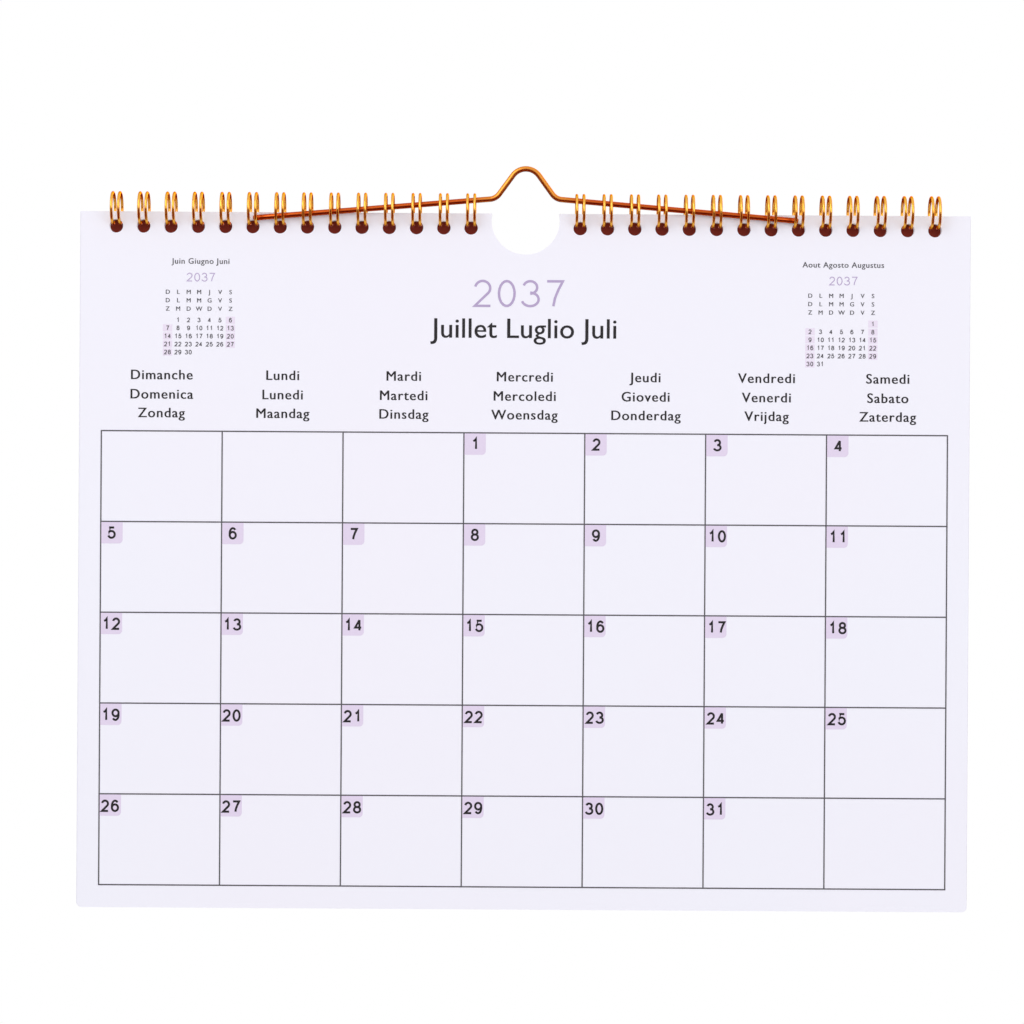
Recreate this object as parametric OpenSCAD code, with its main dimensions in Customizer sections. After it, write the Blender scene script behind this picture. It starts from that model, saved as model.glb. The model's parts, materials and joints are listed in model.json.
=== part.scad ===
// Wall calendar bound along its top edge by two combs of twin-loop wire, with a bent wire hanger
// Frame: +X right, the printed side faces -Y, +Z up, origin where a nail bears under the hanger's crown

/* [Page] */
// Width of a leaf
page_w = 276; // [240:1:320]
// Height of a leaf
page_h = 216; // [200:1:260]
// Radius of a leaf's two lower corners
corner_r = 1.5; // [0.5:0.1:6]
// Thickness of the front leaf
leaf_t = 0.25; // [0.15:0.01:0.4]
// Thickness of a leaf in the block behind
sheet_t = 0.17; // [0.1:0.01:0.2]
// Number of leaves in the block behind
sheets = 12; // [4:1:13]
// Sideways scatter of the leaves' edges
scatter = 0.3; // [0.1:0.05:0.6]
// Clearance between the front leaf and the block
leaf_gap = 0.1; // [0.05:0.01:0.2]

/* [Punching] */
// Diameter of a binding hole
hole_d = 4.2; // [4:0.1:5]
// Hole centre below the leaf's top edge
hole_in = 4.5; // [3.5:0.1:6]
// Distance from one hole to the next
pitch = 8.47; // [8:0.01:8.8]
// Holes on each side of the notch
holes_a_side = 14; // [12:1:14]
// Hole places left free at the notch
free_places = 3; // [3:2:5]
// Radius of the thumb notch
notch_r = 10.6; // [8:0.1:12]
// Notch centre below the leaf's top edge
notch_drop = 2.1; // [0:0.1:5]

/* [Loop wire] */
// Diameter of the loop wire
wire_d = 0.9; // [0.7:0.05:1]
// Radius of a loop, to the middle of its wire
loop_r = 4.8; // [4.6:0.1:5.6]
// Distance between the two wires of a loop
pair = 2.2; // [1.9:0.1:2.3]
// Radius of the bend at a loop's foot
foot_r = 1.2; // [1:0.1:1.6]
// Angle round the loop that the seam takes up
seam = 40; // [36:1:60]
// Angle of a loop's tip behind the lowest point of the loop
tip_back = 24; // [20:1:40]
// Clearance of the loop wire under the upper wall of a hole
hole_play = 0.12; // [0.08:0.01:0.2]

/* [Hanger] */
// Diameter of the hanger wire
hanger_d = 1.7; // [1.4:0.1:1.9]
// Distance from the middle to the end of an arm
reach = 84.2; // [70:0.1:110]
// Height of the nail's seat above the loops' axis
seat_rise = 11.9; // [11:0.1:16]
// Radius of the crown, to the middle of the wire
crown_r = 5; // [4:0.1:6]
// Steepness of the hump's flanks
flank = 54; // [48:1:62]
// Radius of the bend from flank to arm
shoulder_r = 4; // [3:0.1:5]
// Front face of the front leaf ahead of the loops' axis
leaf_ahead = 0.7; // [0.5:0.05:0.8]
// Clearance of the hanger from the leaf and the loops
hanger_play = 0.12; // [0.08:0.01:0.2]

/* [Print] */
// Grid's outer lines in from the leaf's side edges
grid_side = 6.7; // [4:0.1:30]
// Height of the ruled grid
grid_h = 140.9; // [100:0.1:145]
// Grid's lower line above the leaf's lower edge
grid_foot = 7; // [3:0.1:20]
// Width of a ruled line
line_w = 0.4; // [0.2:0.05:1]
// Side of a date tab
tab = 6.6; // [5:0.1:12]
// Radius of a date tab's free corner
tab_r = 1.2; // [0.4:0.1:2]
// Days in the month
days = 31; // [28:1:31]
// Column of the first day, counted from 0
first_column = 3; // [0:1:6]
// Thickness of the printed layer
ink_t = 0.05; // [0.02:0.01:0.1]

/* [Hidden] */
$fn = 48;

gold = [0.80, 0.52, 0.24];
pale_paper = [0.95, 0.94, 0.99];
inner_paper = [0.91, 0.90, 0.95];
grey_ink = [0.35, 0.34, 0.37];
lilac_ink = [0.89, 0.83, 0.93];

wire_r = wire_d / 2;
hanger_r = hanger_d / 2;

// A foot is a hair thinner than the rings and starts a little way inside their ends
foot_thin = 0.02;
foot_wire_r = wire_r - foot_thin;
foot_lap = 0.3;
foot_stub = 0.1;

// Depths from the loops' axis: a leaf in front is negative
leaf_front = -leaf_ahead;
block_front = leaf_front + leaf_t + leaf_gap;
block_t = sheets * sheet_t;
block_back = block_front + block_t;
hanger_depth = leaf_front - hanger_play - hanger_r;

// The loops' axis in the part's frame
axis_y = -hanger_depth;
axis_z = -seat_rise;

// The leaves hang on the loops: at the stack's outermost face the wires just clear each hole's upper wall
far_depth = max(leaf_ahead, block_back);
wire_at_far = -sqrt(loop_r * loop_r - far_depth * far_depth);
hole_reach = hole_d / 2 - wire_r - hole_play;
hole_z = axis_z + wire_at_far - sqrt(hole_reach * hole_reach - pair * pair / 4);
page_top = hole_z + hole_in;

// Places along the binding, counted from the middle
first_place = (free_places + 1) / 2;
fitting = floor((page_w / 2 - hole_d) / pitch) - first_place + 1;
holes = min(holes_a_side, fitting);
last_place = first_place + holes - 1;

// An arm lies across the round of the loops, from the top of the first loop to the bottom of the last
arm_radius = loop_r - wire_r - hanger_play - hanger_r;
arm_height = sqrt(arm_radius * arm_radius - hanger_depth * hanger_depth);
arm_start = first_place * pitch - pair / 2 - wire_r;
slope = atan(2 * arm_height / (reach - arm_start));

// The flank's length brings the shoulder down onto the line of the arm
crown_fall = crown_r * (1 - cos(flank));
shoulder_fall = shoulder_r * (cos(slope) - cos(flank));
bends_out = crown_r * sin(flank) + shoulder_r * (sin(flank) - sin(slope));
line_at_middle = arm_height + arm_start * tan(slope);
hump_fall = seat_rise + hanger_r - line_at_middle - crown_fall - shoulder_fall + bends_out * tan(slope);
flank_run = hump_fall / (sin(flank) - cos(flank) * tan(slope));
shoulder_x = (crown_r + shoulder_r) * sin(flank) + flank_run * cos(flank);
shoulder_z = hanger_r - crown_r + (crown_r + shoulder_r) * cos(flank) - flank_run * sin(flank);

// Stations along half of the hanger, from the crown's middle: [x, z, angle down from level]
bend_steps = 9;
wire_sides = 16;
half_hanger = concat(
  [for (i = [0 : bend_steps]) let (a = flank * i / bend_steps)
    [crown_r * sin(a), hanger_r - crown_r * (1 - cos(a)), a]],
  [for (i = [0 : bend_steps]) let (a = flank + (slope - flank) * i / bend_steps)
    [shoulder_x - shoulder_r * sin(a), shoulder_z - shoulder_r * cos(a), a]],
  [[reach, line_at_middle - seat_rise - reach * tan(slope), slope]]);
hanger_path = concat(
  [for (i = [len(half_hanger) - 1 : -1 : 1]) let (s = half_hanger[i]) [-s[0], s[1], -s[2]]],
  half_hanger);

// Grid measures, from its upper left corner
week = 7;
grid_w = page_w - 2 * grid_side;
column_w = grid_w / week;
week_rows = ceil((first_column + days) / week);
row_h = grid_h / week_rows;
grid_left = -grid_w / 2;
grid_top = page_top - page_h + grid_foot + grid_h;
ink_front = axis_y + leaf_front - ink_t;

// Outline of a leaf, its top edge on the X axis
module leaf_outline() {
  translate([-page_w / 2, corner_r - page_h]) square([page_w, page_h - corner_r]);
  translate([corner_r - page_w / 2, -page_h]) square([page_w - 2 * corner_r, corner_r]);
  for (side = [-1, 1])
    translate([side * (page_w / 2 - corner_r), corner_r - page_h]) circle(corner_r);
}

// Punched holes and thumb notch, drawn as on a leaf
module punching() {
  for (side = [-1, 1], place = [first_place : last_place])
    translate([side * place * pitch, -hole_in]) circle(d = hole_d);
  translate([0, -notch_drop]) circle(notch_r);
}

// Stands a drawing up on its edge, from depth y back by its thickness
module upright(y, thickness) {
  translate([0, y + thickness, 0]) rotate([90, 0, 0]) linear_extrude(thickness) children();
}

// Round wire carried along stations in the XZ plane
module swept_wire(stations, r) {
  n = wire_sides;
  last = (len(stations) - 1) * n;
  polyhedron(
    points = [for (s = stations, k = [0 : n - 1]) let (turn = 360 * k / n)
      [s[0] + r * cos(turn) * sin(s[2]), r * sin(turn), s[1] + r * cos(turn) * cos(s[2])]],
    faces = concat(
      [[for (k = [n - 1 : -1 : 0]) k], [for (k = [0 : n - 1]) last + k]],
      [for (i = [0 : n : last - n], k = [0 : n - 1]) let (m = (k + 1) % n) [i + k, i + m, i + n + m, i + n + k]]));
}

// One twin loop round the Z axis: two rings from the tip at angle 0 to the seam, joined by the tip's half turn
module twin_loop() {
  for (side = [-1, 1])
    translate([0, 0, side * pair / 2])
      rotate_extrude(angle = 360 - seam) translate([loop_r, 0]) circle(wire_r);
  translate([loop_r, 0, 0]) rotate([0, 90, 0])
    rotate_extrude(angle = 180, start = 180) translate([pair / 2, 0]) circle(wire_r);
}

// The wire from the foot of one loop to the foot of the next: a bend, a straight run and a bend
module foot_run() {
  bend_z = pair / 2 + foot_r;
  rotate([0, 0, -seam]) translate([loop_r, foot_stub, 0]) {
    for (end_z = [pair / 2, pitch - pair / 2])
      translate([0, -foot_stub - foot_lap, end_z]) rotate([-90, 0, 0])
        cylinder(r = foot_wire_r, h = foot_lap + foot_stub);
    translate([0, 0, bend_z]) rotate([0, 90, 0])
      rotate_extrude(angle = 90) translate([foot_r, 0]) circle(foot_wire_r);
    translate([0, foot_r, bend_z]) cylinder(r = foot_wire_r, h = pitch - 2 * bend_z);
    translate([0, 0, pitch - bend_z]) rotate([0, 90, 0])
      rotate_extrude(angle = 90, start = 90) translate([foot_r, 0]) circle(foot_wire_r);
  }
}

// A comb set on the loops' axis, its loops running to the left from a place counted to the left of the middle
module comb(from_place) {
  translate([-from_place * pitch, axis_y, axis_z]) rotate([180 + tip_back, 0, 0]) rotate([0, -90, 0])
    for (i = [0 : holes - 1]) translate([0, 0, i * pitch]) {
      twin_loop();
      if (i < holes - 1) foot_run();
    }
}

module left_wire_comb() {
  color(gold) comb(first_place);
}

module right_wire_comb() {
  color(gold) comb(-last_place);
}

module hanger_wire() {
  color(gold) swept_wire(hanger_path, hanger_r);
}

module front_leaf() {
  color(pale_paper) translate([0, 0, page_top]) upright(axis_y + leaf_front, leaf_t)
    difference() {
      leaf_outline();
      punching();
    }
}

// The leaves behind, each shifted a little so that their edges show as steps
scatter_turn = 137;
module page_block() {
  color(inner_paper) translate([0, axis_y + block_front, page_top]) difference() {
    for (i = [0 : sheets - 1])
      translate([scatter * sin(scatter_turn * i), 0, 0]) upright(i * sheet_t, sheet_t) leaf_outline();
    upright(-sheet_t, block_t + 2 * sheet_t) punching();
  }
}

// Ruled lines of the month, a line on every side of each cell
module month_grid() {
  color(grey_ink) translate([grid_left, 0, grid_top]) upright(ink_front, ink_t) {
    for (column = [0 : week])
      translate([column * column_w - line_w / 2, -grid_h - line_w / 2]) square([line_w, grid_h + line_w]);
    for (row = [0 : week_rows])
      translate([-line_w / 2, -row * row_h - line_w / 2]) square([grid_w + line_w, line_w]);
  }
}

// One date tab below and to the right of its cell's corner, with one rounded corner
module date_tab() {
  translate([0, -tab]) {
    translate([0, tab_r]) square([tab, tab - tab_r]);
    square([tab - tab_r, tab_r]);
    translate([tab - tab_r, tab_r]) circle(tab_r);
  }
}

module date_tabs() {
  color(lilac_ink) translate([grid_left, 0, grid_top]) upright(ink_front, ink_t)
    for (day = [0 : days - 1]) {
      cell = first_column + day;
      translate([cell % week * column_w + line_w / 2, -floor(cell / week) * row_h - line_w / 2]) date_tab();
    }
}

left_wire_comb();
right_wire_comb();
hanger_wire();
front_leaf();
page_block();
month_grid();
date_tabs();
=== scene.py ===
# %% [markdown]
# # A wall calendar bound with loops of wire
# The calendar hangs from a bent wire with a hump for the nail. Two combs of doubled wire loops pass
# through holes along the top of the leaves and hold them together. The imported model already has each
# solid in its place. This lesson adds what the eye looks for: bright wire, paper with a tooth, and print.

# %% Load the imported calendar
import json
import math

import bpy
import numpy as np
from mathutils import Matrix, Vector


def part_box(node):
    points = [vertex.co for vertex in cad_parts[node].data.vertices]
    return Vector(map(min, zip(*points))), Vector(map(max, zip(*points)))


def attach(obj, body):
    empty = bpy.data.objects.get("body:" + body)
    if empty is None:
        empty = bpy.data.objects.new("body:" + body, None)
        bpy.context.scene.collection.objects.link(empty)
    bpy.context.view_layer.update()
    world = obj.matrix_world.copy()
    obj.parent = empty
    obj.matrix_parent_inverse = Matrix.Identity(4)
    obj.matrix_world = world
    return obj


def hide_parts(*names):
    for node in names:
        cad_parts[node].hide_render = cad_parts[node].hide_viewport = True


MM = 0.001
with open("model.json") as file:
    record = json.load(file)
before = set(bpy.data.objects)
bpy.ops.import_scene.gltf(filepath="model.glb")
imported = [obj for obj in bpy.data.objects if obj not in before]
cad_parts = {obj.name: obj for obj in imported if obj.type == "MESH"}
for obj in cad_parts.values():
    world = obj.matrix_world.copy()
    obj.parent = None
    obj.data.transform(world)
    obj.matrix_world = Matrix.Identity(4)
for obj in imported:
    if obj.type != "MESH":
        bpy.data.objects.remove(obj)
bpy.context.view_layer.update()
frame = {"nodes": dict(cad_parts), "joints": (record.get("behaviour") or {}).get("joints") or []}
print("solids:", ", ".join(sorted(frame["nodes"])))

# %% [markdown]
# Measuring comes before making. A new piece that takes its place from the solids fits them at once, so
# the leaf, the stack behind it, the ruled grid and the wires are all measured here. Only sizes that a
# box can't tell, such as the wire's thickness, are written down again.

# %% Measure the solids
def measured(node):
    """Lowest and highest corner of a solid, as two arrays of x, y and z."""
    low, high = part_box(node)
    return np.array(low), np.array(high)


leaf_low, leaf_high = measured("front_leaf")
block_low, block_high = measured("page_block")
grid_low, grid_high = measured("month_grid")
comb_low, comb_high = measured("right_wire_comb")
hanger_low, hanger_high = measured("hanger_wire")
loop_axis = np.array(frame["joints"][0]["pos_m"])

WIRE_D = 0.9 * MM
PAIR = 2.2 * MM
LOOPS = 14
loop_r = (comb_high[1] - comb_low[1] - WIRE_D) / 2
pitch = (comb_high[0] - comb_low[0] - PAIR - WIRE_D) / (LOOPS - 1)
page_top = leaf_high[2]
ink_t = leaf_low[1] - grid_low[1]
print(f"loop radius {loop_r / MM:.2f} mm, loops every {pitch / MM:.2f} mm, ink {ink_t / MM:.2f} mm thick")

# %% [markdown]
# Materials are trees of nodes, and writing each one out in full hides what matters. A few small helpers
# keep them short. One turns a colour as seen on a screen into the linear light that a shader works in. The
# others start a material, add a node with its settings, do a sum, mix two colours and dress a piece.

# %% Helpers for materials
# places of the colour sockets on a Mix node
MIX_FIRST, MIX_SECOND, MIX_RESULT = 6, 7, 2


def seen(red, green, blue):
    """Linear colour from screen values of 0 to 255: ((c / 255 + 0.055) / 1.055) to the power 2.4."""
    linear = ((np.array([red, green, blue]) / 255 + 0.055) / 1.055) ** 2.4
    return (*linear.tolist(), 1.0)


def add(tree, kind, **values):
    """A new shader node, with the inputs that are named set to constant values."""
    made = tree.nodes.new("ShaderNode" + kind)
    for name, value in values.items():
        made.inputs[name.replace("_", " ")].default_value = value
    return made


def start_finish(name, **values):
    """A material with its node tree and its main shader, on which constant values are set."""
    finish = bpy.data.materials.new(name)
    finish.use_nodes = True
    shader = finish.node_tree.nodes["Principled BSDF"]
    for key, value in values.items():
        shader.inputs[key.replace("_", " ")].default_value = value
    return finish, finish.node_tree, shader


def feed(tree, socket, value):
    """Sets a socket to a constant, or links another node's output to it."""
    if isinstance(value, bpy.types.NodeSocket):
        tree.links.new(value, socket)
    else:
        socket.default_value = value


def combined(tree, operation, first, second=0.0):
    """The result of a sum on numbers or on the outputs of other nodes."""
    step = tree.nodes.new("ShaderNodeMath")
    step.operation = operation
    feed(tree, step.inputs[0], first)
    feed(tree, step.inputs[1], second)
    return step.outputs[0]


def colour_between(tree, factor, first, second):
    """A mix of two colours, constant or from other nodes, by a factor that varies over the surface."""
    mix = tree.nodes.new("ShaderNodeMix")
    mix.data_type = "RGBA"
    tree.links.new(factor, mix.inputs["Factor"])
    feed(tree, mix.inputs[MIX_FIRST], first)
    feed(tree, mix.inputs[MIX_SECOND], second)
    return mix.outputs[MIX_RESULT]


def dress(piece, finish):
    """Gives a piece or a solid one material in place of what it had."""
    piece.data.materials.clear()
    piece.data.materials.append(finish)


print("white on a screen is", seen(255, 255, 255), "in light")

# %% [markdown]
# Matt paper looks flat from afar, but light catches a fine tooth on it, and its white is never quite
# even. A very fine noise drives a bump for the tooth, and a slow one mixes two near whites. The stack
# behind the front leaf also shows the edges of its sheets. On a face that looks sideways, up or down, a
# thin grey line repeats at every sheet's thickness, worked out from the depth of the point. These lines
# are painted shade where one sheet meets the next.

# %% Paper finishes
SHEETS = 12
sheet_t = (block_high[1] - block_low[1]) / SHEETS
PAPER = seen(243, 244, 254)
PAPER_WARM = seen(245, 241, 252)
# grey of the painted shade in the gaps between sheets
GAP_SHADE_GREY = seen(186, 182, 194)
EDGE_LINE = 0.32
SIDEWAYS = 0.5


def paper_finish(name):
    """Off-white paper: a fine tooth as bump, and a slow drift between two whites."""
    finish, tree, shader = start_finish(name, Roughness=0.72, Specular_IOR_Level=0.28)
    place = add(tree, "TexCoord").outputs["Object"]
    drift = add(tree, "TexNoise", Scale=9.0, Detail=2.0)
    tooth = add(tree, "TexNoise", Scale=5200.0, Detail=3.0, Roughness=0.6)
    bump = add(tree, "Bump", Strength=0.12, Distance=0.00003)
    tree.links.new(place, drift.inputs["Vector"])
    tree.links.new(place, tooth.inputs["Vector"])
    tree.links.new(tooth.outputs["Fac"], bump.inputs["Height"])
    tree.links.new(bump.outputs["Normal"], shader.inputs["Normal"])
    white = colour_between(tree, drift.outputs["Fac"], PAPER, PAPER_WARM)
    tree.links.new(white, shader.inputs["Base Color"])
    return finish, tree, shader, white


def stack_finish(name):
    """The same paper, with a grey line of painted shade on its edges where one sheet meets the next: lines
    where the depth divided by the sheet's thickness is near a whole number, and only where the face doesn't
    look forward or back.
    The closeness to a line is 0.5 on it and 0 midway between two."""
    finish, tree, shader, white = paper_finish(name)
    coordinate = add(tree, "TexCoord")
    depth = add(tree, "SeparateXYZ")
    facing = add(tree, "SeparateXYZ")
    tree.links.new(coordinate.outputs["Object"], depth.inputs[0])
    tree.links.new(coordinate.outputs["Normal"], facing.inputs[0])
    inside = combined(tree, "SUBTRACT", depth.outputs["Y"], float(block_low[1]))
    sheet = combined(tree, "DIVIDE", inside, float(sheet_t))
    closeness = combined(tree, "PINGPONG", combined(tree, "ADD", sheet, 0.5), 0.5)
    near_line = combined(tree, "GREATER_THAN", closeness, EDGE_LINE)
    forward = combined(tree, "ABSOLUTE", facing.outputs["Y"])
    on_edge = combined(tree, "LESS_THAN", forward, SIDEWAYS)
    gap_shade = combined(tree, "MULTIPLY", near_line, on_edge)
    tree.links.new(colour_between(tree, gap_shade, white, GAP_SHADE_GREY), shader.inputs["Base Color"])
    return finish


leaf_paper = paper_finish("leaf_paper")[0]
stack_paper = stack_finish("stack_paper")
dress(frame["nodes"]["front_leaf"], leaf_paper)
dress(frame["nodes"]["page_block"], stack_paper)
print(f"paper on two solids, {SHEETS} sheets of {sheet_t / MM:.2f} mm in the stack")

# %% [markdown]
# Print is a thin, slightly uneven film. Each ink is one colour that a fine noise lightens a little, as a
# screen of dots does on the real sheet. The ruled grid and the date tabs are solids already, so they only
# change their material.

# %% Inks
def ink_finish(name, full, thin):
    """A printed colour that drifts, at the scale of paper fibres, from its full to its thin tone."""
    finish, tree, shader = start_finish(name, Roughness=0.55, Specular_IOR_Level=0.3)
    place = add(tree, "TexCoord").outputs["Object"]
    speckle = add(tree, "TexNoise", Scale=2600.0, Detail=2.0)
    tree.links.new(place, speckle.inputs["Vector"])
    tone = colour_between(tree, speckle.outputs["Fac"], full, thin)
    tree.links.new(tone, shader.inputs["Base Color"])
    return finish


line_ink = ink_finish("line_ink", seen(70, 68, 74), seen(102, 100, 106))
dark_ink = ink_finish("dark_ink", seen(22, 21, 24), seen(46, 44, 48))
small_ink = ink_finish("small_ink", seen(66, 64, 70), seen(98, 96, 102))
tab_ink = ink_finish("tab_ink", seen(225, 210, 236), seen(231, 219, 241))
mark_ink = ink_finish("mark_ink", seen(233, 221, 241), seen(239, 229, 246))
lilac_ink = ink_finish("lilac_ink", seen(174, 156, 196), seen(190, 172, 208))
dress(frame["nodes"]["month_grid"], line_ink)
dress(frame["nodes"]["date_tabs"], tab_ink)
print("six inks, two of them on the grid and the tabs")

# %% [markdown]
# The wire is steel with a gold lacquer, drawn through a die, so fine lines run along it. If the noise for
# those lines lay in ordinary space, it would cut across each bend. Every wire therefore carries its own
# coordinates in an attribute, as if it were straight: how far along it a point is, and where in the round.
# The noise is stretched along the first of them. The hanger's arms get a deeper copper than its hump,
# as painted shade for the darker surroundings that they mirror inside the loops.

# %% Gold lacquered wire
SMOOTHER = 0.06
ROUGHER = 0.08
HUMP_END = 8 * MM
ARM_START = 20 * MM


def gold_finish(name, roughness, deep, bright):
    """Lacquered metal: colour and gloss vary in lines that follow the wire's own coordinates."""
    finish, tree, shader = start_finish(name, Metallic=1.0, Specular_Tint=seen(214, 120, 60))
    straight = tree.nodes.new("ShaderNodeAttribute")
    straight.attribute_name = "straight"
    stretch = add(tree, "Mapping", Scale=(60.0, 5200.0, 5200.0))
    drawn = add(tree, "TexNoise", Scale=1.0, Detail=3.0)
    bump = add(tree, "Bump", Strength=0.1, Distance=0.00002)
    gloss = add(tree, "MapRange", To_Min=roughness - SMOOTHER, To_Max=roughness + ROUGHER)
    tree.links.new(straight.outputs["Vector"], stretch.inputs["Vector"])
    tree.links.new(stretch.outputs["Vector"], drawn.inputs["Vector"])
    tree.links.new(drawn.outputs["Fac"], bump.inputs["Height"])
    tree.links.new(bump.outputs["Normal"], shader.inputs["Normal"])
    tree.links.new(drawn.outputs["Fac"], gloss.inputs["Value"])
    tree.links.new(gloss.outputs["Result"], shader.inputs["Roughness"])
    tone = colour_between(tree, drawn.outputs["Fac"], deep, bright)
    tree.links.new(tone, shader.inputs["Base Color"])
    return finish


def deepen_arms(finish, tone):
    """Mixes a deeper tone into the hanger's lacquer, as painted shade on its arms. Its share grows from none
    at the hump's foot to full a little way along the arms, so it follows the distance from the middle, |x|."""
    tree = finish.node_tree
    colour = tree.nodes["Principled BSDF"].inputs["Base Color"]
    unshaded = colour.links[0].from_socket
    place = add(tree, "SeparateXYZ")
    share = add(tree, "MapRange", From_Min=HUMP_END, From_Max=ARM_START)
    tree.links.new(add(tree, "TexCoord").outputs["Object"], place.inputs[0])
    tree.links.new(combined(tree, "ABSOLUTE", place.outputs["X"]), share.inputs["Value"])
    tree.links.new(colour_between(tree, share.outputs["Result"], unshaded, tone), colour)


loop_gold = gold_finish("loop_gold", roughness=0.2, deep=seen(226, 152, 56), bright=seen(252, 204, 96))
hanger_gold = gold_finish("hanger_gold", roughness=0.26, deep=seen(212, 124, 48), bright=seen(240, 166, 74))
# the deeper copper mixed into the arms is painted shade
deepen_arms(hanger_gold, seen(192, 86, 34))
print("two gold finishes")

# %% [markdown]
# A round wire is a circle carried along a path. At every station the circle needs two directions across
# the path. One is given, such as straight out from the loops' axis, and the other is the path's direction
# crossed with it. The ends are cut wire with the burr taken off, so the last circles get smaller.

# %% Carry a round wire along a path
SIDES = 14
CHAMFER = 0.35


def with_cut_ends(path, normals, radius):
    """The path, with stations added at both ends where the circle shrinks to take off the sharp rim."""
    start = path[0] - path[1]
    end = path[-1] - path[-2]
    start = start / np.linalg.norm(start) * radius * CHAMFER
    end = end / np.linalg.norm(end) * radius * CHAMFER
    path = np.concatenate([[path[0] + start], path, [path[-1] + end]])
    normals = np.concatenate([normals[:1], normals, normals[-1:]])
    radii = np.full(len(path), radius)
    radii[[0, -1]] *= 1 - CHAMFER
    return path, normals, radii


def round_wire(name, path, normals, radius):
    """point(i, k) = path(i) + radius(i) * (cos(turn k) * normal(i) + sin(turn k) * across(i)), where
    across is the path's direction crossed with the normal."""
    path, normals, radii = with_cut_ends(path, normals, radius)
    steps = np.diff(path, axis=0)
    lengths = np.linalg.norm(steps, axis=1)
    steps = steps / lengths[:, None]
    ahead = np.concatenate([steps[:1], steps[:-1] + steps[1:], steps[-1:]])
    ahead -= (ahead * normals).sum(axis=1, keepdims=True) * normals
    ahead /= np.linalg.norm(ahead, axis=1, keepdims=True)
    across = np.cross(ahead, normals)
    turn = np.linspace(0, 2 * np.pi, SIDES, endpoint=False)
    flat = np.stack([np.cos(turn), np.sin(turn)], axis=1)
    circle = flat[:, :1] * normals[:, None] + flat[:, 1:] * across[:, None]
    points = path[:, None] + radii[:, None, None] * circle

    index = np.arange(points.shape[0] * SIDES).reshape(-1, SIDES)
    beside = np.roll(index, -1, axis=1)
    quads = np.stack([index[:-1], beside[:-1], beside[1:], index[1:]], axis=-1).reshape(-1, 4)
    ends = [index[0][::-1].tolist(), index[-1].tolist()]
    mesh = bpy.data.meshes.new(name)
    mesh.from_pydata(points.reshape(-1, 3).tolist(), [], quads.tolist() + ends)
    mesh.polygons.foreach_set("use_smooth", np.ones(len(mesh.polygons), bool))

    along = np.concatenate([[0], np.cumsum(lengths)])
    straight = np.empty(points.shape)
    straight[..., 0] = along[:, None]
    straight[..., 1:] = radii[:, None, None] * flat
    mesh.attributes.new("straight", "FLOAT_VECTOR", "POINT").data.foreach_set("vector", straight.ravel())
    mesh.update()
    piece = bpy.data.objects.new(name, mesh)
    bpy.context.scene.collection.objects.link(piece)
    print(f"{name}: {along[-1]:.3f} m of wire, {len(mesh.polygons)} faces")
    return piece


print(f"a wire has {SIDES} sides")

# %% [markdown]
# The loop wire is made flat first: one wire is bent into a row of hairpins, and the row is then rolled into
# a tube. The lesson does the same. The flat row is drawn in two measures, along the binding and along the
# hairpin, and the roll turns the second into an angle round the loops' axis. Each hairpin's tip closes the
# tube behind the leaves, beside the feet that join it to its neighbours.

# %% Two combs of loops
FOOT_BEND = 1.2 * MM
SEAM = math.radians(40)
TIP_BACK = math.radians(24)
LEG_STATIONS = 54
BEND_STATIONS = 7


def hairpin_row():
    """Flat path of one comb, as columns of places along the binding and lengths from the tips' line.
    A hairpin is a bend from the foot, a leg down, a half circle, a leg up and a bend to the next foot."""
    leg = loop_r * (2 * np.pi - SEAM)
    half = PAIR / 2
    bend = np.linspace(0, np.pi / 2, BEND_STATIONS)[:-1]
    tip = np.linspace(0, np.pi, 2 * BEND_STATIONS)
    down = np.linspace(leg, 0, LEG_STATIONS)[:-1]
    foot = np.stack([FOOT_BEND * np.sin(bend) - half - FOOT_BEND, leg + FOOT_BEND * np.cos(bend)], axis=1)
    leg_down = np.stack([np.full(len(down), -half), down], axis=1)
    half_turn = np.stack([-half * np.cos(tip), -half * np.sin(tip)], axis=1)
    mirror = np.array([-1, 1])
    hairpin = np.concatenate([foot, leg_down, half_turn, leg_down[::-1] * mirror, foot[::-1] * mirror])
    shift = np.stack([np.arange(LOOPS) * pitch, np.zeros(LOOPS)], axis=1)
    row = (shift[:, None] + hairpin[None]).reshape(-1, 2)
    return row[len(foot):-len(foot)]


def rolled_comb(name, first_x):
    """Rolls the flat row: the angle back from the lowest point is TIP_BACK - length / radius."""
    row = hairpin_row()
    angle = TIP_BACK - row[:, 1] / loop_r
    normals = np.stack([np.zeros(len(row)), np.sin(angle), -np.cos(angle)], axis=1)
    path = loop_axis + loop_r * normals
    path[:, 0] = first_x + row[:, 0]
    return round_wire(name, path, normals, WIRE_D / 2)


right_first = comb_low[0] + (PAIR + WIRE_D) / 2
left_first = -right_first - (LOOPS - 1) * pitch
for comb_name, first_x in (("left_wire_comb", left_first), ("right_wire_comb", right_first)):
    comb = rolled_comb(comb_name.replace("_wire_comb", "_loops"), first_x)
    dress(comb, loop_gold)
    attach(comb, "binding")
    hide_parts(comb_name)

# %% [markdown]
# The hanger is one piece of thicker wire. Its hump takes the nail, and its arms slant down inside the loops
# from the top of the innermost to the bottom of the outermost that they reach. The path is worked out
# for one side: a crown arc, a straight flank, a shoulder arc that turns the other way, and the arm.

# %% Hanger wire
HANGER_D = hanger_high[1] - hanger_low[1]
PLAY = 0.12 * MM
REACH = 84.2 * MM
CROWN_R = 5 * MM
SHOULDER_R = 4 * MM
FLANK = math.radians(54)
ARC_STATIONS = 25
ARM_STATIONS = 6


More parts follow.
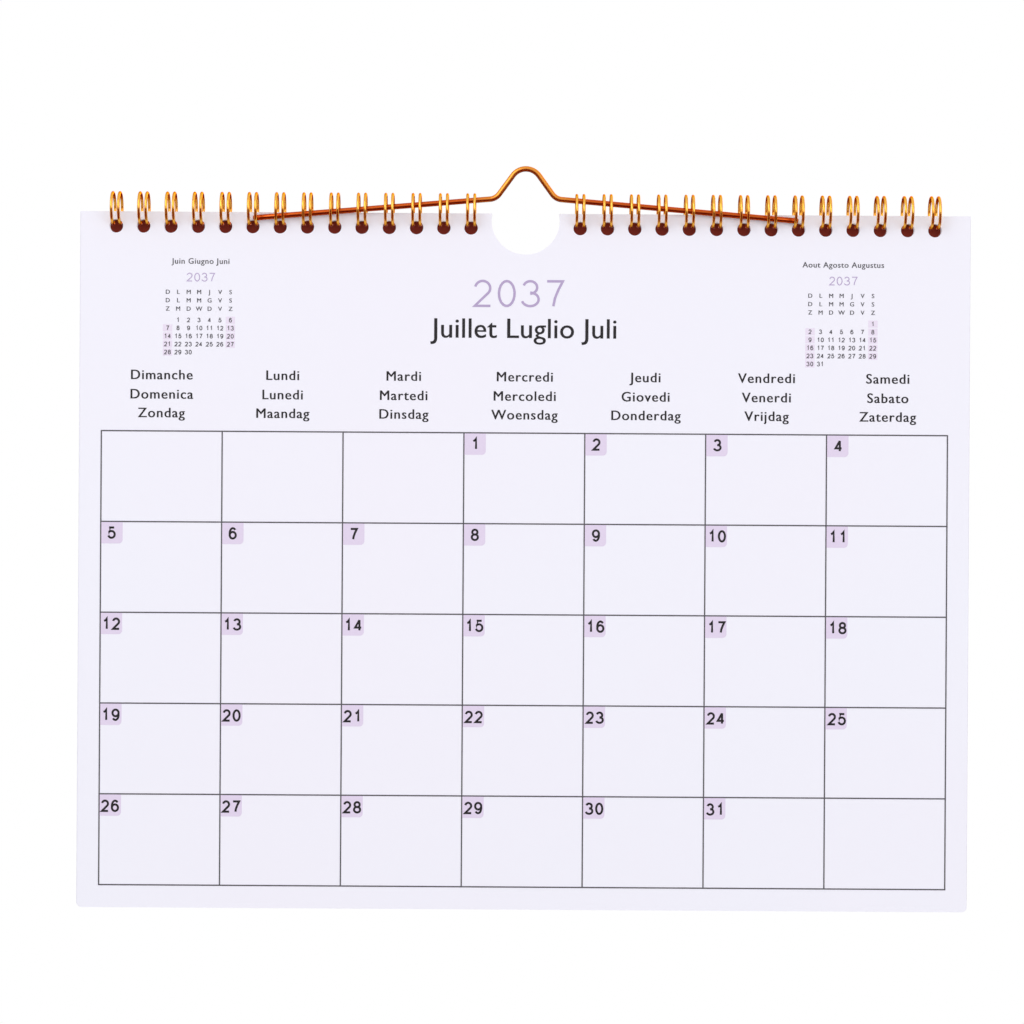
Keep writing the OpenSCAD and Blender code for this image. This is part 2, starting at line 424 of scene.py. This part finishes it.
def hanger_half():
    """Stations x, z and angle down from level, from the crown's middle to the arm's end. The arm runs
    across the round of the loops, and the flank is as long as it takes to meet the arm's line."""
    half_d = HANGER_D / 2
    arm_r = loop_r - WIRE_D / 2 - PLAY - half_d
    arm_up = math.sqrt(arm_r**2 - loop_axis[1] ** 2)
    slope = math.atan(2 * arm_up / (REACH - comb_low[0]))
    line_middle = loop_axis[2] + arm_up + comb_low[0] * math.tan(slope)
    both = CROWN_R + SHOULDER_R
    turned = both * math.sin(FLANK) - SHOULDER_R * math.sin(slope)
    fallen = CROWN_R + SHOULDER_R * math.cos(slope) - both * math.cos(FLANK)
    drop = half_d - line_middle - fallen + turned * math.tan(slope)
    run = drop / (math.sin(FLANK) - math.cos(FLANK) * math.tan(slope))
    centre_x = both * math.sin(FLANK) + run * math.cos(FLANK)
    centre_z = half_d - CROWN_R + both * math.cos(FLANK) - run * math.sin(FLANK)
    crown = np.linspace(0, FLANK, ARC_STATIONS)
    shoulder = np.linspace(FLANK, slope, ARC_STATIONS)
    arm_x = np.linspace(REACH, centre_x, ARM_STATIONS, endpoint=False)[::-1]
    shoulder_x = centre_x - SHOULDER_R * np.sin(shoulder)
    shoulder_z = centre_z - SHOULDER_R * np.cos(shoulder)
    return np.concatenate([
        np.stack([CROWN_R * np.sin(crown), half_d - CROWN_R * (1 - np.cos(crown)), crown], axis=1),
        np.stack([shoulder_x, shoulder_z, shoulder], axis=1),
        np.stack([arm_x, line_middle - arm_x * math.tan(slope), np.full(len(arm_x), slope)], axis=1),
    ])


right_half = hanger_half()
stations = np.concatenate([right_half[:0:-1] * np.array([-1, 1, -1]), right_half])
level = np.zeros(len(stations))
hanger_path = np.stack([stations[:, 0], level, stations[:, 1]], axis=1)
hanger_normals = np.stack([np.sin(stations[:, 2]), level, np.cos(stations[:, 2])], axis=1)
hanger = round_wire("hanger", hanger_path, hanger_normals, HANGER_D / 2)
dress(hanger, hanger_gold)
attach(hanger, "hanger")
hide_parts("hanger_wire")

# %% [markdown]
# Everything printed is a flat shape with the ink's thickness. Words come from Blender's own typeface, which
# is turned into triangles and set in place as an array. For a bolder line, each word is printed twice, a
# hair apart. The second print is a little thinner, because two faces in one plane would shade each other.

# %% Set type
TYPE_STEPS = 4
LAYER = 0.2


def type_mesh(words, size, spacing):
    """Points and triangles of a word set flat at the origin: x along it, y up, z through the ink."""
    curve = bpy.data.curves.new("type", "FONT")
    curve.body = words
    curve.align_x = "CENTER"
    curve.size = size
    curve.space_character = spacing
    curve.extrude = ink_t / 2
    curve.resolution_u = TYPE_STEPS
    holder = bpy.data.objects.new("type", curve)
    mesh = bpy.data.meshes.new_from_object(holder)
    points = np.empty(len(mesh.vertices) * 3)
    mesh.vertices.foreach_get("co", points)
    mesh.calc_loop_triangles()
    triangles = np.empty(len(mesh.loop_triangles) * 3, int)
    mesh.loop_triangles.foreach_get("vertices", triangles)
    bpy.data.meshes.remove(mesh)
    bpy.data.objects.remove(holder)
    bpy.data.curves.remove(curve)
    return points.reshape(-1, 3), triangles.reshape(-1, 3)


capital = np.ptp(type_mesh("H", 1.0, 1.0)[0][:, 1])
print(f"a capital is {capital:.3f} of the type's size")


def set_words(entries, paper_y, cap, spacing=1.0, bolder=0.0):
    """Words in a list of (text, x, z) with their capitals' middle at x and z, on the paper at paper_y.
    A second print, moved aside by bolder and thinner by a layer, widens the strokes."""
    points, triangles, count = [], [], 0
    prints = [(-bolder / 2, 1.0), (bolder / 2, 1 - LAYER)] if bolder else [(0.0, 1.0)]
    for words, x, z in entries:
        flat, faces = type_mesh(words, cap / capital, spacing)
        for aside, thickness in prints:
            depth = paper_y - (ink_t / 2 + flat[:, 2]) * thickness
            points.append(np.stack([flat[:, 0] + x + aside, depth, flat[:, 1] + z - cap / 2], axis=1))
            triangles.append(faces + count)
            count += len(flat)
    return np.concatenate(points), np.concatenate(triangles)


# %% [markdown]
# The figures are drawn with a broad pen instead, in the plain upright style of a wall calendar. Each figure
# is a few strokes in a box from 0 to 1, made of straight lines and arcs of ellipses. The pen's edges lie half
# its width to either side of the stroke, and at a corner they meet on the line that halves the angle. Where
# two strokes of a figure cross, one lies a hair lower, because two faces in one plane would shade each other.

# %% Draw figures with a pen
ARC_POINTS = 22
FIGURE_W = 0.66
FIGURE_STEP = 0.80
SHARPEST = 0.4


def arc(middle, radii, start, end):
    """Points of an ellipse from one angle to another, in degrees: middle + radii * (cos, sin)."""
    angle = np.radians(np.linspace(start, end, ARC_POINTS))
    return np.array(middle) + np.array(radii) * np.stack([np.cos(angle), np.sin(angle)], axis=1)


def corners(*places):
    """Straight strokes from corner to corner."""
    return np.array(places, float)


six = [arc((0.5, 0.32), (0.5, 0.32), 170, 530), arc((0.52, 0.5), (0.52, 0.5), 42, 196)]
FIGURES = {
    "0": [arc((0.5, 0.5), (0.5, 0.5), 90, 450)],
    "1": [corners((0.16, 0.76), (0.42, 0.84), (0.6, 1), (0.6, 0))],
    "2": [np.concatenate([arc((0.5, 0.71), (0.48, 0.29), 168, -38), corners((0, 0), (1, 0))])],
    "3": [arc((0.46, 0.75), (0.44, 0.25), 162, -90), arc((0.46, 0.27), (0.54, 0.27), 90, -164)],
    "4": [corners((0.7, 0), (0.7, 1)), corners((0.7, 1), (0, 0.27), (1, 0.27))],
    "5": [np.concatenate([corners((0.9, 1), (0.2, 1), (0.08, 0.5)),
                          arc((0.47, 0.33), (0.53, 0.33), 136, -162)])],
    "6": six,
    "7": [corners((0, 1), (1, 1), (0.72, 0.66), (0.5, 0.32), (0.4, 0))],
    "8": [arc((0.5, 0.76), (0.42, 0.24), 90, 450), arc((0.5, 0.27), (0.5, 0.27), 90, 450)],
    "9": [1 - stroke for stroke in six],
}
print(f"{len(FIGURES)} figures in {sum(len(strokes) for strokes in FIGURES.values())} strokes")


def pen_edges(stroke, pen):
    """Left and right edge of a stroke: each point moved by half the pen along the mean of its two
    normals, divided by the cosine of half the turn so that the width holds round a corner. A limit on
    that cosine keeps very sharp corners from growing spikes."""
    steps = np.diff(stroke, axis=0)
    steps /= np.linalg.norm(steps, axis=1, keepdims=True)
    closed = np.allclose(stroke[0], stroke[-1])
    before = np.concatenate([steps[-1:] if closed else steps[:1], steps])
    after = np.concatenate([steps, steps[:1] if closed else steps[-1:]])
    mean = before + after
    mean /= np.linalg.norm(mean, axis=1, keepdims=True)
    reach = pen / 2 / np.maximum((mean * before).sum(axis=1, keepdims=True), SHARPEST)
    normal = np.stack([-mean[:, 1], mean[:, 0]], axis=1)
    return stroke + normal * reach, stroke - normal * reach


def ribbon(left, right, back, front):
    """A stroke with the ink's thickness: four rails, joined by quads along it and closed at its ends."""
    rails = np.stack([left, right, right, left], axis=1)
    depth = np.broadcast_to(np.array([front, front, back, back]), rails.shape[:2])
    points = np.stack([rails[..., 0], depth, rails[..., 1]], axis=-1)
    index = np.arange(len(left) * 4).reshape(-1, 4)
    beside = np.roll(index, -1, axis=1)
    sides = np.stack([index[:-1], beside[:-1], beside[1:], index[1:]], axis=-1).reshape(-1, 4)
    return points.reshape(-1, 3), np.concatenate([sides, index[:1, ::-1], index[-1:]])


def set_figures(entries, paper_y, height, pen, step=FIGURE_STEP):
    """Numbers in a list of (text, x, z), with their middle at x and z, on the paper at paper_y."""
    points, quads, count = [], [], 0
    pen *= height
    size = np.array([FIGURE_W * height - pen, height - pen])
    for number, x, z in entries:
        first = x - (len(number) - 1) / 2 * step * height
        for place, figure in enumerate(number):
            corner = np.array([first + place * step * height, z]) - size / 2
            for layer, stroke in enumerate(FIGURES[figure]):
                front = paper_y - ink_t * (1 - LAYER * layer)
                shape, faces = ribbon(*pen_edges(stroke * size + corner, pen), paper_y, front)
                points.append(shape)
                quads.append(faces + count)
                count += len(shape)
    return np.concatenate(points), np.concatenate(quads)


# %% [markdown]
# Marks, lines and tabs are plain outlines, so they don't need a pen. All outlines of one kind have the same
# number of points, and one array turns the whole lot into prisms. Whatever is printed becomes a piece that
# moves with its sheet.

# %% Print flat shapes
def prisms(outlines, back, front):
    """Prisms over n outlines of k points (x, z), anticlockwise as seen from the front: each outline is
    repeated at two depths, and quads join the two."""
    n, k = outlines.shape[:2]
    points = np.empty((n, 2, k, 3))
    points[..., 0] = outlines[:, None, :, 0]
    points[..., 2] = outlines[:, None, :, 1]
    points[:, 0, :, 1] = front
    points[:, 1, :, 1] = back
    index = np.arange(n * 2 * k).reshape(n, 2, k)
    beside = np.roll(index, -1, axis=2)
    sides = np.stack([index[:, 0], index[:, 1], beside[:, 1], beside[:, 0]], axis=-1).reshape(-1, 4)
    faces = index[:, 0].tolist() + index[:, 1, ::-1].tolist() + sides.tolist()
    return points.reshape(-1, 3), faces


def bars(left, right, low, high):
    """Outlines of upright rectangles from arrays of their four edges."""
    left, right, low, high = np.broadcast_arrays(left, right, low, high)
    around = [(left, low), (right, low), (right, high), (left, high)]
    return np.stack([np.stack(corner, axis=-1) for corner in around], axis=1)


def printed(name, shape, ink, body):
    """Puts points and faces into a piece that rides on the sheet's body."""
    points, faces = shape
    mesh = bpy.data.meshes.new(name)
    mesh.from_pydata(points.tolist(), [], faces if isinstance(faces, list) else faces.tolist())
    mesh.update()
    piece = bpy.data.objects.new(name, mesh)
    bpy.context.scene.collection.objects.link(piece)
    dress(piece, ink)
    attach(piece, body)
    print(f"{name}: {len(mesh.polygons)} faces")


one_square = bars(np.zeros(1), 1, 0, 1)
print(f"a square prints as {len(prisms(one_square, 1, 0)[1])} faces")

# %% [markdown]
# A month is a table: a day's column is the weekday it falls on, and its row is the week. Two helpers turn
# days into columns and rows. Places on the sheet are measured from its top edge and middle, as a printer
# would. The three rows of weekday names, the small months on either side and the year are plain generic
# print.

# %% Layout of a printed month
WEEK = 7
column_w = (grid_high[0] - grid_low[0]) / WEEK
DATE_IN = 3.6 * MM
DATE_DOWN = 3.6 * MM
DATE_H = 3.85 * MM
DATE_PEN = 0.17
NAME_ROWS = (50.6 * MM, 56.6 * MM, 62.4 * MM)
NAME_CAP = 2.95 * MM
NAME_BOLDER = 0.16 * MM
NAME_SPACING = 1.12
YEAR_X = -2.0 * MM
YEAR_DOWN = 24.8 * MM
YEAR_H = 8.5 * MM
YEAR_PEN = 0.09
YEAR_STEP = 0.88
MONTH_DOWN = 35.6 * MM
MONTH_CAP = 6.0 * MM
MONTH_BOLDER = 0.12 * MM
MONTH_SPACING = 1.02
WEEKDAYS = (
    ("Dimanche", "Domenica", "Zondag"),
    ("Lundi", "Lunedi", "Maandag"),
    ("Mardi", "Martedi", "Dinsdag"),
    ("Mercredi", "Mercoledi", "Woensdag"),
    ("Jeudi", "Giovedi", "Donderdag"),
    ("Vendredi", "Venerdi", "Vrijdag"),
    ("Samedi", "Sabato", "Zaterdag"),
)
MONTHS = {
    6: ("Juin Giugno Juni", 1, 30),
    7: ("Juillet Luglio Juli", 3, 31),
    8: ("Aout Agosto Augustus", 6, 31),
    9: ("Septembre Settembre September", 2, 30),
}
YEAR = "2037"


def cells(first_column, days):
    """Day numbers with the column and the row that each falls in."""
    place = first_column + np.arange(days)
    return np.arange(1, days + 1), place % WEEK, place // WEEK


def grid_lines(rows):
    """Left edges of the columns and upper edges of the rows in the ruled grid."""
    left = grid_low[0] + np.arange(WEEK + 1) * column_w
    top = np.linspace(grid_high[2], grid_low[2], rows + 1)
    return left, top


def week_rows(month):
    """Weeks that a month spreads over."""
    first_column, days = MONTHS[month][1:]
    return math.ceil((first_column + days) / WEEK)


print(f"columns {column_w / MM:.1f} mm wide")

# %% [markdown]
# To the left and right of the title stand the months before and after, so small that they are mostly
# texture. They are laid out by the same table, with a tint behind the weekends.

# %% Small months beside the title
SMALL_LEFT = -101.2 * MM
SMALL_RIGHT = 98.2 * MM
SMALL_TOP = 15.3 * MM
SMALL_STEP = 3.25 * MM
SMALL_ROW = 2.5 * MM
SMALL_CAP = 1.3 * MM
SMALL_H = 1.45 * MM
SMALL_PEN = 0.17
SMALL_BOLDER = 0.08 * MM
SMALL_TITLE_CAP = 1.7 * MM
SMALL_SPACING = 1.1
SMALL_YEAR_H = 2.7 * MM
SMALL_YEAR_PEN = 0.1
SMALL_YEAR_STEP = 0.86
SMALL_TITLE_X = 0.5 * MM
YEAR_BELOW = 5.0 * MM
INITIALS_BELOW = 9.6 * MM
INITIALS_STEP = 2.6 * MM
DAYS_BELOW = 18.3 * MM
MARK_W = 2.9 * MM
MARK_H = 2.2 * MM


def small_month(month, middle):
    """Words of a small month, its year, and the outlines of the marks behind its weekends."""
    title, first_column, days = MONTHS[month]
    top = page_top - SMALL_TOP
    columns = middle + (np.arange(WEEK) - (WEEK - 1) / 2) * SMALL_STEP
    initials = [(name[0], columns[day], top - INITIALS_BELOW - row * INITIALS_STEP)
                for day, names in enumerate(WEEKDAYS) for row, name in enumerate(names)]
    first_row = top - DAYS_BELOW
    numbers, column, row = cells(first_column, days)
    x, z = columns[column], first_row - row * SMALL_ROW
    days_placed = [(str(number), place, height) for number, place, height in zip(numbers, x, z)]
    weekend = (column == 0) | (column == WEEK - 1)
    x, z = x[weekend], z[weekend]
    marks = bars(x - MARK_W / 2, x + MARK_W / 2, z - MARK_H / 2, z + MARK_H / 2)
    heading = middle + SMALL_TITLE_X
    return [(title, heading, top)], [(YEAR, heading, top - YEAR_BELOW)], initials, days_placed, marks


print(f"small months {((WEEK - 1) * SMALL_STEP + MARK_W) / MM:.1f} mm wide")

# %% [markdown]
# One function prints a whole sheet, because the leaf behind shows the next month when the front leaf is
# turned up. Ink that lies on a tab has to stand in front of it, so words are set from the tab's face.

# %% Print a sheet
def title_block(prefix, month, paper_y, body):
    """Year, month and weekday names above the grid, and the two small months."""
    def on_sheet(what, shape, ink):
        printed(f"{prefix}_{what}", shape, ink, body)

    middles = grid_lines(1)[0][:-1] + column_w / 2
    names = [(name, x, page_top - down)
             for names, x in zip(WEEKDAYS, middles) for name, down in zip(names, NAME_ROWS)]
    on_sheet("weekdays", set_words(names, paper_y, NAME_CAP, NAME_SPACING, NAME_BOLDER), dark_ink)
    month_line = [(MONTHS[month][0], 0, page_top - MONTH_DOWN)]
    month_shape = set_words(month_line, paper_y, MONTH_CAP, MONTH_SPACING, MONTH_BOLDER)
    on_sheet("month", month_shape, dark_ink)

    before, after = small_month(month - 1, SMALL_LEFT), small_month(month + 1, SMALL_RIGHT)
    titles, years, initials, days, marks = (list(a) + list(b) for a, b in zip(before, after))
    on_sheet("small_marks", prisms(np.array(marks), paper_y, paper_y - ink_t / 2), mark_ink)
    title_shape = set_words(titles, paper_y, SMALL_TITLE_CAP, SMALL_SPACING, SMALL_BOLDER)
    on_sheet("small_titles", title_shape, small_ink)
    initial_shape = set_words(initials, paper_y, SMALL_CAP, bolder=SMALL_BOLDER)
    on_sheet("small_initials", initial_shape, small_ink)
    on_sheet("small_days", set_figures(days, paper_y, SMALL_H, SMALL_PEN), small_ink)
    year_shape = set_figures(years, paper_y, SMALL_YEAR_H, SMALL_YEAR_PEN, SMALL_YEAR_STEP)
    on_sheet("small_years", year_shape, lilac_ink)
    year_line = [(YEAR, YEAR_X, page_top - YEAR_DOWN)]
    on_sheet("year", set_figures(year_line, paper_y, YEAR_H, YEAR_PEN, YEAR_STEP), lilac_ink)


def dates(prefix, month, paper_y, body):
    """The day numbers, each in the corner of its cell."""
    left, top = grid_lines(week_rows(month))
    numbers, column, row = cells(*MONTHS[month][1:])
    entries = [(str(n), left[c] + DATE_IN, top[r] - DATE_DOWN) for n, c, r in zip(numbers, column, row)]
    printed(prefix + "_dates", set_figures(entries, paper_y, DATE_H, DATE_PEN), dark_ink, body)


FRONT_MONTH = 7
title_block("leaf", FRONT_MONTH, leaf_low[1], "leaf")
dates("leaf", FRONT_MONTH, leaf_low[1] - ink_t / 2, "leaf")

# %% [markdown]
# The sheet behind is seen only when the front leaf is lifted. Its grid and tabs have no solids of their own,
# so they are printed here: bars for the lines, and for each day a square with one rounded corner.

# %% Print the sheet behind
TAB = 6.6 * MM
TAB_R = 1.2 * MM
LINE_W = 0.4 * MM
TAB_ARC = 6


def ruled_lines(rows):
    """Outlines of the upright and level lines of a grid with that many rows."""
    left, top = grid_lines(rows)
    half = LINE_W / 2
    upright = bars(left - half, left + half, grid_low[2] - half, grid_high[2] + half)
    level = bars(grid_low[0] - half, grid_high[0] + half, top - half, top + half)
    return np.concatenate([upright, level])


def tab_outlines(month):
    """A square for each day, hung from its cell's corner, with an arc for the lower right corner."""
    left, top = grid_lines(week_rows(month))
    numbers, column, row = cells(*MONTHS[month][1:])
    turn = np.linspace(-np.pi / 2, 0, TAB_ARC)
    rounded = np.stack([TAB - TAB_R + TAB_R * np.cos(turn), TAB_R - TAB + TAB_R * np.sin(turn)], axis=1)
    outline = np.concatenate([[[0, -TAB]], rounded, [[TAB, 0], [0, 0]]])
    corner = np.stack([left[column] + LINE_W / 2, top[row] - LINE_W / 2], axis=1)
    return corner[:, None] + outline[None]


NEXT_MONTH = 8
stack_face = block_low[1]
title_block("next", NEXT_MONTH, stack_face, "binding")
dates("next", NEXT_MONTH, stack_face - ink_t / 4, "binding")
next_grid = prisms(ruled_lines(week_rows(NEXT_MONTH)), stack_face, stack_face - ink_t)
printed("next_grid", next_grid, line_ink, "binding")
next_tabs = prisms(tab_outlines(NEXT_MONTH), stack_face, stack_face - ink_t / 2)
printed("next_tabs", next_tabs, tab_ink, "binding")

# %% [markdown]
# The calendar hangs high above a pale floor. The floor takes its shadow and fades to plain white further
# away, so no edge shows behind the calendar. That white is only for the eye and for mirrors: if the floor
# really shone, it would light the paper from below.

# %% Floor
FLOOR_Z = -1.1
FLOOR_HALF = 15.0
FLOOR_WHITE = 0.8
FADE_START = 1.2
FADE_END = 4.0


def shader_between(tree, factor, first, second, output):
    """Sends a mix of two shaders to the output."""
    either = add(tree, "MixShader")
    for source, socket in zip((factor, first.outputs[0], second.outputs[0]), either.inputs):
        tree.links.new(source, socket)
    tree.links.new(either.outputs[0], tree.nodes[output].inputs["Surface"])


def seen_directly(tree):
    """A factor that is 1 for camera, mirrored and clear rays, and 0 for all other rays."""
    ray = add(tree, "LightPath").outputs
    factor = combined(tree, "MAXIMUM", ray["Is Camera Ray"], ray["Is Glossy Ray"])
    return combined(tree, "MAXIMUM", factor, ray["Is Transmission Ray"])


def floor_finish():
    """Pale paint mixed with plain white. The white's share grows with the distance from the origin."""
    finish, tree, shader = start_finish("floor_paint", Base_Color=seen(240, 240, 240), Roughness=0.9)
    white = add(tree, "Emission", Color=(1, 1, 1, 1), Strength=1.0)
    distance = tree.nodes.new("ShaderNodeVectorMath")
    distance.operation = "LENGTH"
    share = add(tree, "MapRange", From_Min=FADE_START, From_Max=FADE_END, To_Min=FLOOR_WHITE, To_Max=1.0)
    tree.links.new(add(tree, "TexCoord").outputs["Object"], distance.inputs[0])
    tree.links.new(distance.outputs["Value"], share.inputs["Value"])
    factor = combined(tree, "MULTIPLY", seen_directly(tree), share.outputs["Result"])
    shader_between(tree, factor, shader, white, "Material Output")
    return finish


def stage_card(name, points, faces):
    """A card of the set, which isn't part of the calendar."""
    mesh = bpy.data.meshes.new(name)
    mesh.from_pydata(points, [], faces)
    card = bpy.data.objects.new(name, mesh)
    bpy.context.scene.collection.objects.link(card)
    return card


ONE_FACE = [(0, 1, 2, 3)]
around = ((-1, -1), (1, -1), (1, 1), (-1, 1))
floor = stage_card("floor", [(x * FLOOR_HALF, y * FLOOR_HALF, FLOOR_Z) for x, y in around], ONE_FACE)
dress(floor, floor_finish())
print(f"floor {-FLOOR_Z} m below the nail")

# %% [markdown]
# Metal is only as interesting as what it mirrors. In an all white room the gold would look flat, so a dark
# red card curves under the calendar, like a trough. It shows in reflections alone: it casts no shadow,
# and the camera doesn't see it.

# %% Dark card for the gold to mirror
CARD_R = 0.85
CARD_HALF = 1.8
CARD_STEPS = 24
CARD_END = math.radians(86)


def dark_card():
    """A half round trough under the calendar: y = -R sin(a), z = -R cos(a), from nearly level behind
    the calendar, through straight down, to nearly level in front of it."""
    angle = np.linspace(-CARD_END, CARD_END, CARD_STEPS)
    points = np.empty((CARD_STEPS, 2, 3))
    points[..., 0] = np.array([-CARD_HALF, CARD_HALF])
    points[..., 1] = -CARD_R * np.sin(angle)[:, None]
    points[..., 2] = -CARD_R * np.cos(angle)[:, None]
    index = np.arange(CARD_STEPS * 2).reshape(-1, 2)
    quads = np.stack([index[:-1, 0], index[:-1, 1], index[1:, 1], index[1:, 0]], axis=1)
    return stage_card("dark_card", points.reshape(-1, 3).tolist(), quads.tolist())


card = dark_card()
dress(card, start_finish("card_red", Base_Color=seen(126, 26, 10), Roughness=1.0)[0])
card.visible_camera = False
card.visible_diffuse = False
card.visible_shadow = False
card.visible_transmission = False
print(f"dark card {CARD_R} m away")

# %% [markdown]
# Through the holes one looks at the wall that the calendar hangs on, in deep shade. Two narrow cards behind
# the stack stand for it. They are lit like any surface, and their dark red-brown colour adds painted shade,
# warmed by painted light bounced off the gold wires. They are clear from behind, so they hide nothing there.

# %% Shaded wall behind the holes
HOLE_IN = 4.5 * MM
SHADE_HALF = 2.7 * MM
SHADE_BEHIND = 0.05 * MM
shade_y = block_high[1] + SHADE_BEHIND
hole_z = page_top - HOLE_IN


def shade_finish():
    """Dark red-brown paint, as painted shade warmed by painted light from the gold wires, and nothing at all
    on its back.
    """
    # the dark red-brown base colour is painted shade with a warm painted tint of light from the gold
    finish, tree, shader = start_finish("wall_shade", Base_Color=seen(122, 34, 14), Roughness=0.95)
    from_behind = add(tree, "NewGeometry").outputs["Backfacing"]
    shader_between(tree, from_behind, shader, add(tree, "BsdfTransparent"), "Material Output")
    return finish


wall_shade = shade_finish()
low, high = hole_z - SHADE_HALF, hole_z + SHADE_HALF
for side, start in (("left", left_first), ("right", right_first)):
    near, far = start - SHADE_HALF, start + (LOOPS - 1) * pitch + SHADE_HALF
    outline = ((near, low), (far, low), (far, high), (near, high))
    strip = stage_card(side + "_wall_shade", [(x, shade_y, z) for x, z in outline], ONE_FACE)
    dress(strip, wall_shade)
    strip.visible_diffuse = False
    strip.visible_glossy = False
    strip.visible_shadow = False
print(f"shaded wall {shade_y / MM:.2f} mm behind the hanger")

# %% [markdown]
# The photograph's background is plain white, so the world is white to the camera and in mirrors. On the
# paper it gives only part of the light. The rest comes from three soft lamps: one high on the left, a weaker
# one on the right, and one behind. Together they reach a level where a colour shows about as it is written.

# %% Light
WORLD_LIGHT = 0.72
LAMP_SIZE = 0.9
# place in metres and power in watts
LAMPS = {
    "key": ((-0.7, -1.0, 0.7), 5.7),
    "fill": ((0.9, -1.1, 0.1), 3.4),
    "back": ((0.5, 1.3, 0.5), 6.0),
}


def white_world():
    """White for camera, mirrored and clear rays, and a weaker even light for everything else."""
    world = bpy.data.worlds.new("studio")
    world.use_nodes = True
    tree = world.node_tree
    plain = tree.nodes["Background"]
    plain.inputs["Color"].default_value = (1, 1, 1, 1)
    plain.inputs["Strength"].default_value = WORLD_LIGHT
    white = add(tree, "Background", Color=(1, 1, 1, 1), Strength=1.0)
    shader_between(tree, seen_directly(tree), plain, white, "World Output")
    bpy.context.scene.world = world


def soft_lamp(name, place, aim, power):
    """A square area lamp that looks from a place at an aim."""
    lamp = bpy.data.lights.new(name, "AREA")
    lamp.size = LAMP_SIZE
    lamp.energy = power
    holder = bpy.data.objects.new(name, lamp)
    holder.location = place
    holder.rotation_euler = (Vector(aim) - Vector(place)).to_track_quat("-Z", "Y").to_euler()
    bpy.context.scene.collection.objects.link(holder)


page_middle = (0, 0, (leaf_low[2] + leaf_high[2]) / 2)
white_world()
for lamp_name, (place, power) in LAMPS.items():
    soft_lamp(lamp_name, place, page_middle, power)
print(f"white world and {len(LAMPS)} lamps")

# %% [markdown]
# The camera stands straight in front, about a metre away, a touch above and left of the sheet's middle. Its
# lens follows from the size that the page has in the picture. The calendar in the photograph is turned by
# a third of a degree, so the camera rolls by that much.

# %% Camera
DISTANCE = 0.95
PICTURE = 1024
PIXELS_A_METRE = 3222
CAMERA_X = -3.7 * MM
CAMERA_DOWN = 92.6 * MM
ROLL = math.radians(0.35)
SENSOR = 36

lens = bpy.data.cameras.new("camera")
lens.sensor_width = SENSOR
lens.lens = SENSOR * DISTANCE * PIXELS_A_METRE / PICTURE
camera = bpy.data.objects.new("camera", lens)
camera.location = (CAMERA_X, leaf_low[1] - DISTANCE, page_top - CAMERA_DOWN)
camera.rotation_euler = (math.pi / 2, -ROLL, 0)
bpy.context.scene.collection.objects.link(camera)
bpy.context.scene.camera = camera
bpy.context.scene.view_settings.view_transform = "Standard"
print(f"lens {lens.lens:.1f} mm at {DISTANCE} m")
